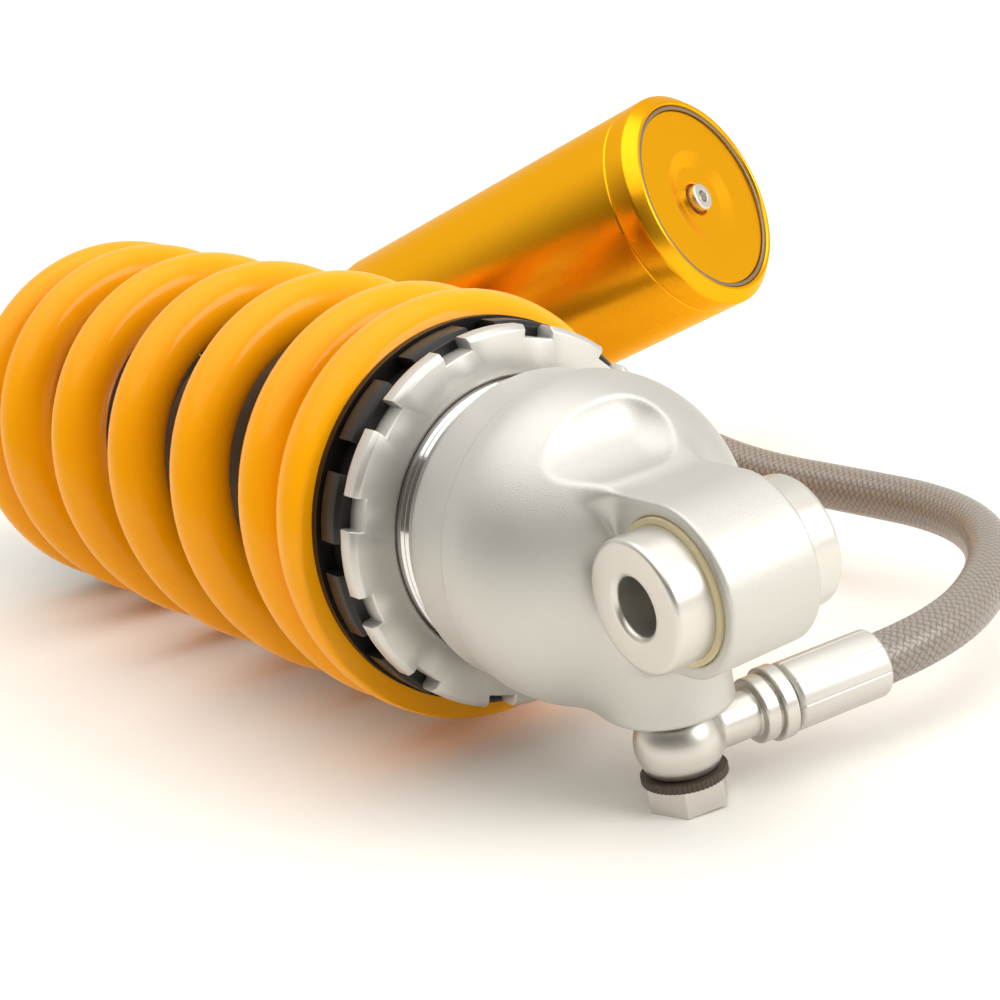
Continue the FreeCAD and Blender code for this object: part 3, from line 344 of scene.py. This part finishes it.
def reservoir_matrix():
    turn = Matrix.Rotation(RESERVOIR_YAW, 4, "Z") @ Matrix.Rotation(-RESERVOIR_DROP, 4, "X")
    turn.translation = RESERVOIR_AT
    return turn


def banjo_matrix():
    turn = Matrix.Rotation(BANJO_TURN, 4, "Z")
    turn.translation = BANJO_AT
    return turn


def add_piece(name, slot, body, nodes, vertices, faces, matrix=None, maps=None, crease=None):
    """A smooth-shaded mesh, in millimetres, that rides on a body and stands for some CAD nodes."""
    mesh = bpy.data.meshes.new(name)
    spots = np.asarray(vertices, float)
    if matrix is not None:
        turn = np.array(matrix)
        spots = spots @ turn[:3, :3].T + turn[:3, 3]
    mesh.from_pydata((spots * MM).tolist(), [], [tuple(int(i) for i in face) for face in faces])
    if maps is not None:
        layer = mesh.uv_layers.new(name="UVMap")
        loops = np.empty(len(mesh.loops), int)
        mesh.loops.foreach_get("vertex_index", loops)
        layer.data.foreach_set("uv", np.asarray(maps, float)[loops].ravel())
    work = bmesh.new()
    work.from_mesh(mesh)
    bmesh.ops.recalc_face_normals(work, faces=work.faces)
    for face in work.faces:
        face.smooth = True
    if crease:
        for edge in work.edges:
            if len(edge.link_faces) == 2 and edge.calc_face_angle(0) > math.radians(crease):
                edge.smooth = False
    work.to_mesh(mesh)
    work.free()
    mesh.materials.append(MATERIALS[slot])
    piece = bpy.data.objects.new(name, mesh)
    bpy.context.scene.collection.objects.link(piece)
    if nodes:
        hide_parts(*nodes)
    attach(piece, body)
    return piece


def rounded(points, radius, steps=4, closed=True):
    """A profile with its corners broken by small curves. A corner on the axis stays."""
    result = []
    count = len(points)
    for i, (along, out) in enumerate(points):
        here = Vector((along, out))
        if out < 1e-6 or (not closed and i in (0, count - 1)):
            result.append((along, out))
            continue
        before, after = Vector(points[i - 1]), Vector(points[(i + 1) % count])
        back, forth = before - here, after - here
        cut = min(radius, 0.45 * back.length, 0.45 * forth.length)
        first, last = here + back.normalized() * cut, here + forth.normalized() * cut
        for step in range(steps + 1):
            share = step / steps
            spot = first * (1 - share) ** 2 + here * 2 * share * (1 - share) + last * share ** 2
            result.append((spot.x, spot.y))
    return result


def lathe(profile, segments=144, closed=True, ripple=None):
    """Vertices and faces of a profile of (along Y, radius) points turned about the Y axis."""
    vertices, rows = [], []
    for along, out in profile:
        if out < 1e-6:
            rows.append([len(vertices)] * segments)
            vertices.append((0.0, along, 0.0))
            continue
        rows.append(list(range(len(vertices), len(vertices) + segments)))
        for i in range(segments):
            angle = TURN * i / segments
            radius = out + (ripple(angle, along, out) if ripple else 0.0)
            vertices.append((radius * math.cos(angle), along, radius * math.sin(angle)))
    faces = []
    pairs = list(zip(rows, rows[1:])) + ([(rows[-1], rows[0])] if closed else [])
    for first, second in pairs:
        if first[0] == first[1] and second[0] == second[1]:
            continue
        for i in range(segments):
            j = (i + 1) % segments
            face = [first[i], first[j], second[j], second[i]]
            faces.append([v for k, v in enumerate(face) if v != face[k - 1]])
    return vertices, faces


def sweep(points, radius, around):
    """Vertices, faces and a map in millimetres of a round bar along a line of points.

    radius is a number, or a function of (distance along, angle).
    """
    line = [Vector(p) for p in points]
    tangents = [(b - a).normalized() for a, b in zip([line[0]] + line[:-1], line[1:] + [line[-1]])]
    normal = tangents[0].orthogonal().normalized()
    vertices, maps, travelled = [], [], 0.0
    for i, (spot, tangent) in enumerate(zip(line, tangents)):
        if i:
            travelled += (spot - line[i - 1]).length
        normal = (normal - tangent * normal.dot(tangent)).normalized()
        side = tangent.cross(normal)
        for k in range(around):
            angle = TURN * k / around
            size = radius(travelled, angle) if callable(radius) else radius
            vertices.append(spot + (normal * math.cos(angle) + side * math.sin(angle)) * size)
            maps.append((travelled, k / around))
    faces = []
    for i in range(len(line) - 1):
        for k in range(around):
            a, b = i * around + k, i * around + (k + 1) % around
            faces.append((a, b, b + around, a + around))
    last = (len(line) - 1) * around
    faces += [tuple(range(around)), tuple(range(last + around - 1, last - 1, -1))]
    return vertices, faces, maps


def skin(field, low, high, step):
    """Vertices and faces of the closed surface where field(x, y, z) is zero, negative inside."""
    axes = [np.arange(a, b + step, step) for a, b in zip(low, high)]
    values = field(*np.meshgrid(*axes, indexing="ij"))
    inside = values < 0
    shape = np.array(values.shape) - 1
    corners = [(i, j, k) for i in (0, 1) for j in (0, 1) for k in (0, 1)]

    def corner(array, c):
        return array[c[0]:c[0] + shape[0], c[1]:c[1] + shape[1], c[2]:c[2] + shape[2]]

    count = sum(corner(inside, c).astype(np.int8) for c in corners)
    cells = np.argwhere((count > 0) & (count < 8))
    index = np.full(shape, -1)
    index[tuple(cells.T)] = np.arange(len(cells))
    total, hits = np.zeros((len(cells), 3)), np.zeros(len(cells))
    for c in corners:
        for axis in range(3):
            if c[axis]:
                continue
            d = list(c)
            d[axis] = 1
            start = values[tuple((cells + c).T)]
            end = values[tuple((cells + d).T)]
            crosses = (start < 0) != (end < 0)
            share = np.where(crosses, start / np.where(crosses, start - end, 1), 0)
            spot = np.repeat(np.array(c, float)[None], len(cells), axis=0)
            spot[:, axis] = share
            total += spot * crosses[:, None]
            hits += crosses
    spots = np.array(low) + (cells + total / hits[:, None]) * step
    for _ in range(3):
        here = field(*spots.T)
        slope = np.stack([(field(*(spots + e).T) - here) / 1e-3 for e in np.eye(3) * 1e-3], axis=1)
        move = -here[:, None] * slope / np.maximum((slope ** 2).sum(axis=1), 0.3)[:, None]
        spots = spots + np.clip(move, -step / 2, step / 2)
    faces = []
    for axis in range(3):
        u, v = (axis + 1) % 3, (axis + 2) % 3
        first = [slice(None)] * 3
        second = [slice(None)] * 3
        first[axis], second[axis] = slice(None, -1), slice(1, None)
        changes = np.argwhere(inside[tuple(first)] != inside[tuple(second)])
        changes = changes[(changes[:, u] > 0) & (changes[:, v] > 0)]
        around = []
        for du, dv in ((1, 1), (0, 1), (0, 0), (1, 0)):
            cell = changes.copy()
            cell[:, u] -= du
            cell[:, v] -= dv
            around.append(index[tuple(cell.T)])
        faces += np.stack(around, axis=1).tolist()
    return spots, faces


def join(a, b, size):
    """The union of two solids, with a fillet of about that size."""
    share = np.clip(0.5 + 0.5 * (b - a) / size, 0, 1)
    return b * (1 - share) + a * share - size * share * (1 - share)


def cut(a, b, size):
    """Solid a without solid b, with the new edge broken."""
    return -join(-a, b, size)


def meet(a, b, radius):
    """The overlap of two solids, with the edge rounded to that radius."""
    p, q = a + radius, b + radius
    return np.hypot(np.maximum(p, 0), np.maximum(q, 0)) + np.minimum(np.maximum(p, q), 0) - radius


def rod(x, y, radius, along, start, end, edge):
    """A cylinder whose two cross-axis distances are x and y, from start to end along its axis."""
    middle, half = (start + end) / 2, (end - start) / 2
    return meet(np.hypot(x, y) - radius, np.abs(along - middle) - half, edge)


# ---- cylinder head and banjo ------------------------------------------------------------------

def head_field(x, y, z):
    """The casting: dome and barrel, eye lug, banjo boss, oil rib, scallop and its bores."""
    out = np.hypot(x, z)
    # the dome's profile is a rounded square curve, from a small flat nose to the band
    ahead = np.maximum(HEAD_CURVE_END - y, 0) / HEAD_CURVE_DEPTH
    beside = (out - 12.2 + np.hypot(out - 12.2, 6.0)) / 2 / 17.7
    power = np.maximum(ahead ** HEAD_ROUND + beside ** HEAD_ROUND, 1e-3)
    slope = power ** (1 / HEAD_ROUND - 1) * np.hypot(ahead ** 0.7 / HEAD_CURVE_DEPTH, beside ** 0.7 / 17.2)
    dome = (power ** (1 / HEAD_ROUND) - 1) / np.maximum(slope, 0.04)
    dome = meet(dome, y - HEAD_STEP, 0.45)
    barrel = rod(x, z, BARREL_RADIUS, y, 35, HEAD_REAR, 0.5)
    shape = join(dome, barrel, 0.3)
    eye = np.where(y < 0, np.hypot(y, z), np.abs(z)) - LUG_RADIUS
    lug = meet(np.maximum(eye, y - 26), np.abs(x) - LUG_HALF, 0.55)
    shape = join(shape, lug, 1.3 + 3.6 * np.clip((z - 9) / 5, 0, 1))
    boss = rod(x, y - BANJO_ALONG, BOSS_RADIUS, z, BOSS_FACE, 0, 1.0)
    shape = join(shape, boss, 6.5)
    rib = np.sqrt(x ** 2 + (z + 19.6) ** 2 + np.maximum(np.abs(y - 29) - 9.5, 0) ** 2) - 8.5
    shape = join(shape, rib, 4.0)
    reach = np.maximum(np.abs(x + 6.05) - 8.47, 0)
    scallop = np.sqrt(reach ** 2 + (y - 13.5) ** 2 + (z - 27.3) ** 2) - 11.06
    shape = cut(shape, scallop, 0.5)
    shape = cut(shape, np.hypot(y, z) - BUSH_RADIUS, 0.5)
    shape = cut(shape, np.maximum(out - 24.5, 36.5 - y), 0.4)
    return cut(shape, np.maximum(np.hypot(x, y - BANJO_ALONG) - 5, z + 11), 0.4)


def make_head():
    step = 0.45
    spots, faces = skin(head_field, (-32, -17, -32), (32, 51, 32), step)
    add_piece("head_casting", "cast_aluminium", "damper", ["cylinder_head"], spots, faces)


def banjo_field(x, y, z):
    ball = meet(np.sqrt(x ** 2 + y ** 2 + z ** 2) - 7.9, np.abs(z) - 5.3, 0.5)
    stem = rod(y, z, 4.35, x, 0, 16, 0.1)
    shape = join(ball, stem, 1.2)
    collar = rod(y, z, 6.0, x, 14.8, 17.8, 0.32)
    shoulder = rod(y, z, 6.8, x, 18.2, 21.0, 0.32)
    neck = rod(y, z, 5.4, x, 15, 21.8, 0.1)
    shape = join(shape, collar, 0.25)
    shape = np.minimum(np.minimum(shape, shoulder), neck)
    return cut(shape, np.hypot(x, y) - 5.05, 0.3)


def make_banjo():
    step = 0.28
    spots, faces = skin(banjo_field, (-9, -9, -7), (24, 9, 8), step)
    add_piece("banjo_union", "bright_steel", "damper", ["banjo_fitting"], spots, faces, banjo_matrix())


def crimp(angle, along, out):
    """The eight narrow creases that the crimping dies leave along a ferrule."""
    share = (angle * CRIMPS / TURN) % 1.0
    return -0.14 * math.exp(-(min(share, 1 - share) / 0.036) ** 2) if out > 5.6 else 0.0


def make_ferrules():
    ear = Vector((-EAR_OFFSET * math.cos(EAR_DROP), 82.0, -EAR_OFFSET * math.sin(EAR_DROP)))
    front = banjo_matrix() @ Matrix.Translation((21.8, 0, 0)) @ Matrix.Rotation(-TURN / 4, 4, "Z")
    rear = reservoir_matrix() @ Matrix.Translation(ear)
    for name, node, end, lay in (("ferrule_front", "hose_ferrule", 19.7, front),
                                 ("ferrule_rear", "reservoir_ferrule", 15.0, rear)):
        profile = rounded([(0, 4.95), (0, 5.75), (0.6, FERRULE_RADIUS), (end - 0.6, FERRULE_RADIUS),
                           (end, 5.75), (end, 4.95)], 0.35)
        vertices, faces = lathe(profile, 384, ripple=crimp)
        add_piece(name, "turned_aluminium", "damper", [node], vertices, faces, lay)


def make_eye_sleeve():
    across = Matrix.Rotation(-TURN / 4, 4, "Z")
    profile = rounded([(-17, 5.75), (-17, 11.55), (17, 11.55), (17, 5.75), (16.3, 5.05), (-16.3, 5.05)],
                      1.1, 6)
    add_piece("sleeve", "bright_steel", "eye_sleeve", ["eye_sleeve"], *lathe(profile, 192), across)


def make_lower_washer():
    """The washer above the bolt's head, its rim finely serrated."""
    upright = Matrix.Translation((0, BANJO_AT.y, 0)) @ Matrix.Rotation(TURN / 4, 4, "X")
    profile = rounded([(-41.4, 5.05), (-41.4, 7.7), (-39.9, 7.7), (-39.9, 5.05)], 0.12)
    vertices, faces = lathe(profile, 336, ripple=lambda angle, along, out: (
        -0.11 * (1 - math.cos(56 * angle)) if out > 7.5 else 0.0))
    add_piece("serrated_washer", "bonded_seal", "damper", ["lower_seal_washer"], vertices, faces, upright)


# ---- hose --------------------------------------------------------------------------------------

def hose_line():
    """Points along the smooth line that the route's control points shape."""
    data = bpy.data.curves.new("hose_route", "CURVE")
    data.dimensions = "3D"
    data.resolution_u = 40
    spline = data.splines.new("NURBS")
    spline.points.add(len(HOSE_ROUTE) - 1)
    for point, spot in zip(spline.points, HOSE_ROUTE):
        point.co = (*(c * MM for c in spot), 1)
    spline.order_u = 3
    spline.use_endpoint_u = True
    route = bpy.data.objects.new("hose_route", data)
    bpy.context.scene.collection.objects.link(route)
    mesh = bpy.data.meshes.new_from_object(route)
    line = [tuple(v.co) for v in mesh.vertices]
    bpy.data.objects.remove(route)
    return line


def evenly(line, gap):
    """Points at equal distances along a line."""
    line = np.array(line)
    travelled = np.concatenate([[0], np.cumsum(np.linalg.norm(np.diff(line, axis=0), axis=1))])
    stops = np.linspace(0, travelled[-1], int(travelled[-1] / gap) + 1)
    return np.stack([np.interp(stops, travelled, line[:, i]) for i in range(3)], axis=1)


def weave(travelled, angle):
    """The hose's radius where one flat strand passes over or under another."""
    waves = [travelled / BRAID_PITCH + sign * BRAID_STRANDS * angle / TURN for sign in (1, -1)]
    over = int(math.floor(waves[0]) + math.floor(waves[1])) % 2
    return HOSE_RADIUS - 0.09 + 0.09 * abs(math.sin(math.pi * waves[over])) ** 0.6


def make_hose():
    line = hose_line()
    gap = 0.26
    points = evenly(np.array(line) / MM, gap)
    around = 128
    vertices, faces, maps = sweep(points, weave, around)
    hose = add_piece("braided_hose", "hose_braid", "damper", ["hose"], vertices, faces, maps=maps)


# ---- rings and spring ---------------------------------------------------------------------------

def notched_ring(name, slot, front, back, tip, root, turn):
    """A ring nut with twelve spanner notches, chamfered on both faces, its edges broken."""
    bore, half, chamfer, count = 26.0, 2.95, 0.9, 12
    contour = []
    for k in range(count):
        middle = math.radians(turn) + TURN * k / count
        wide, narrow = math.asin(half / root), math.asin(half / tip)
        contour += [(middle - narrow, tip, middle - wide * 2), (middle - wide, root, middle - wide),
                    (middle, root, middle), (middle + wide, root, middle + wide),
                    (middle + narrow, tip, middle + wide * 2)]
        gap = TURN / count - 4 * wide
        contour += [(middle + wide * 2 + gap * i / 8, tip, middle + wide * 2 + gap * i / 8)
                    for i in range(8 + 1)]
    vertices, faces, size = [], [], len(contour)

    def row(along, inner, shrink=0.0):
        for angle, radius, inner_angle in contour:
            at = inner_angle if inner else angle
            out = inner or (radius - shrink if radius == tip else radius)
            vertices.append((out * math.cos(at), along, out * math.sin(at)))

    row(front + 0.4, bore)
    row(front, bore + 0.4)
    row(front, 0, chamfer)
    row(front + chamfer, 0)
    row(back - chamfer, 0)
    row(back, 0, chamfer)
    row(back, bore + 0.4)
    row(back - 0.4, bore)
    for r in range(8):
        for i in range(size):
            a, b = r * size + i, r * size + (i + 1) % size
            c, d = ((r + 1) % 8) * size + (i + 1) % size, ((r + 1) % 8) * size + i
            faces.append((a, b, c, d))
    ring = add_piece(name + "_nut", slot, name, [name], vertices, faces)
    work = bmesh.new()
    work.from_mesh(ring.data)
    bmesh.ops.remove_doubles(work, verts=work.verts, dist=1e-6)
    sharp = [e for e in work.edges if len(e.link_faces) == 2 and e.calc_face_angle(0) > math.radians(24)]
    bmesh.ops.bevel(work, geom=sharp, offset=0.22 * MM, segments=2, profile=0.5, affect="EDGES",
                    clamp_overlap=True)
    for face in work.faces:
        face.smooth = True
    for edge in work.edges:
        edge.smooth = not (len(edge.link_faces) == 2 and edge.calc_face_angle(0) > math.radians(50))
    work.to_mesh(ring.data)
    work.free()


def spring_height(turns):
    """Height of the wire's centre above the upper seat after so many turns from its tip."""
    closed, ramp, opened, low, high = 1.25, 0.35, 4.15, 11.7, 29.0
    height = 2.9 - 11.6 / 2
    for span, first, last in ((closed, low, low), (ramp, low, high), (opened, high, high),
                              (ramp, high, low), (closed, low, low)):
        step = min(max(turns, 0.0), span)
        height += step * (first + (last - first) * step / span / 2)
        turns -= span
    return height


def make_spring():
    total, per_turn = 7.35, 90
    around = 48
    seat, far = 69.9, 227.9
    count = int(total * per_turn)
    points = []
    for i in range(count + 1):
        turns = total * i / count
        angle = math.radians(20) - TURN * turns
        points.append((34.2 * math.cos(angle), seat + spring_height(turns), 34.2 * math.sin(angle)))
    length = sum((Vector(a) - Vector(b)).length for a, b in zip(points, points[1:]))

    def wire(travelled, _):
        end = min(travelled, length - travelled)
        return 5.8 - 0.6 * max(0.0, 1 - end / 0.8) ** 2

    vertices, faces, _ = sweep(points, wire, around)
    vertices = [(v.x, min(max(v.y, seat), far), v.z) for v in vertices]
    spring = add_piece("spring_coils", "spring_steel", "damper", ["coil_spring"], vertices, faces,
                       crease=50)
    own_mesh(spring)


# ---- reservoir -----------------------------------------------------------------------------------

def make_reservoir():
    turn = reservoir_matrix()
    can = rounded([(0.5, 23.0), (101, 23.0), (101, 26.5), (98.6, 26.5), (98.3, 26.2), (98.0, 26.5),
                   (8.4, 26.5), (8.1, 26.2), (7.8, 26.5), (2.6, 26.5), (0, 24.0), (0, 23.4)], 0.5)
    add_piece("reservoir_can", "gold_aluminium", "damper", ["reservoir_body"], *lathe(can, 192), turn)
    cap = [(4.2, 0), (12, 0), (12, 22.9), (1.6, 22.9), (1.6, 22.2), (1.0, 21.8), (1.0, 12.0), (1.3, 11.0),
           (2.2, 8.0), (2.6, 4.0), (4.2, 3.6)]
    add_piece("reservoir_end", "gold_aluminium", "damper", ["reservoir_cap"],
              *lathe(rounded(cap, 0.4), 192), turn)
    clip = rounded([(0.45, 22.0), (1.5, 22.0), (1.5, 22.97), (0.45, 22.97)], 0.4)
    add_piece("reservoir_clip", "shim_steel", "damper", ["cap_retaining_ring"], *lathe(clip, 192), turn)
    screw = rounded([(2.4, 0), (2.4, 1.35), (0.7, 1.5), (0.7, 2.9), (1.0, 3.3), (4.1, 3.3), (4.1, 0)], 0.25)
    add_piece("gas_screw", "bright_steel", "damper", ["gas_valve_screw"], *lathe(screw, 96), turn)
    step = 0.6
    spots, faces = skin(block_field, (-45, 92, -28), (28, 119.5, 28), step)
    add_piece("reservoir_valve_block", "turned_aluminium", "damper", ["reservoir_block"],
              spots, faces, turn)


def block_field(x, y, z):
    body = rod(x, z, 26.1, y, 101, 118, 1.2)
    spigot = rod(x, z, 22.95, y, 93, 110, 0.5)
    reach_x, reach_z = -EAR_OFFSET * math.cos(EAR_DROP), -EAR_OFFSET * math.sin(EAR_DROP)
    share = np.clip((x * reach_x + z * reach_z) / EAR_OFFSET ** 2, 0, 1)
    arm = np.hypot(x - share * reach_x, z - share * reach_z) - 8.6
    ear = meet(arm, np.abs(y - 109) - 8, 1.0)
    shape = join(join(body, ear, 4.0), spigot, 0.2)
    shape = np.where(y < 101, np.maximum(shape, spigot), shape)
    shape = cut(shape, np.maximum(np.hypot(x, z) - 4.05, 112 - y), 0.4)
    port = np.maximum(np.hypot(x - reach_x, z - reach_z) - 4.3, y - 111)
    return cut(shape, port, 0.4)


# ---- lower fork ------------------------------------------------------------------------------------

def fork_field(x, y, z):
    out = np.hypot(x, z)
    neck = rod(x, z, 19.9, y, 224, 251, 0.5)
    flats = np.where(y > 237, np.abs(x) - 13, -1.0)
    neck = meet(neck, np.where(y < 249, flats, -1.0), 0.3)
    flange = rod(x, z, 24.5, y, 232.4, 237, 0.7)
    shape = np.minimum(neck, flange)
    pin = np.where(y > 290, np.hypot(y - 290, z), np.abs(z)) - 14.5
    arms = meet(np.maximum(pin, 250 - y), np.abs(x) - 21, 0.9)
    shape = join(shape, arms, 2.0)
    gap = meet(np.abs(x) - 13, 262 - y, 3.0)
    shape = cut(shape, gap, 0.5)
    window = np.maximum(np.abs(y - 244) - 4, np.abs(z) - 16.4)
    shape = cut(shape, window, 0.4)
    shape = cut(shape, np.hypot(y - 290, z) - 5.05, 0.6)
    return cut(shape, np.maximum(out - 7, y - 241), 0.3)


def make_fork():
    step = 0.6
    spots, faces = skin(fork_field, (-26, 222.5, -26), (26, 306, 26), step)
    add_piece("lower_fork", "turned_aluminium", "rod", ["lower_clevis"], spots, faces)


# ---- the CAD nodes that stay -------------------------------------------------------------------------

def dress_nodes():
    """Give every CAD node that stays its material and a broken edge."""
    for part in frame["record"]["subparts"]:
        node = frame["nodes"][part["node"]]
        node.data.materials.clear()
        node.data.materials.append(MATERIALS[part["material_slot"]])
        if node.hide_render:
            continue
        edge = node.modifiers.new("broken_edge", "BEVEL")
        edge.width = 0.0002
        edge.segments = 2
        edge.limit_method = "ANGLE"
        edge.angle_limit = math.radians(35)
        edge.harden_normals = True


add_camera()
MATERIALS = make_materials()
make_ferrules()
make_hose()
make_head()
make_banjo()
make_eye_sleeve()
make_lower_washer()
notched_ring("lock_ring", "turned_aluminium", 56.82, 61.84, 35.07, 32.72, 10.4)
notched_ring("preload_ring", "black_aluminium", 61.84, 68.3, 35.4, 32.72, 25.0)
make_spring()
make_reservoir()
make_fork()
dress_nodes()
add_floor()
add_lighting()
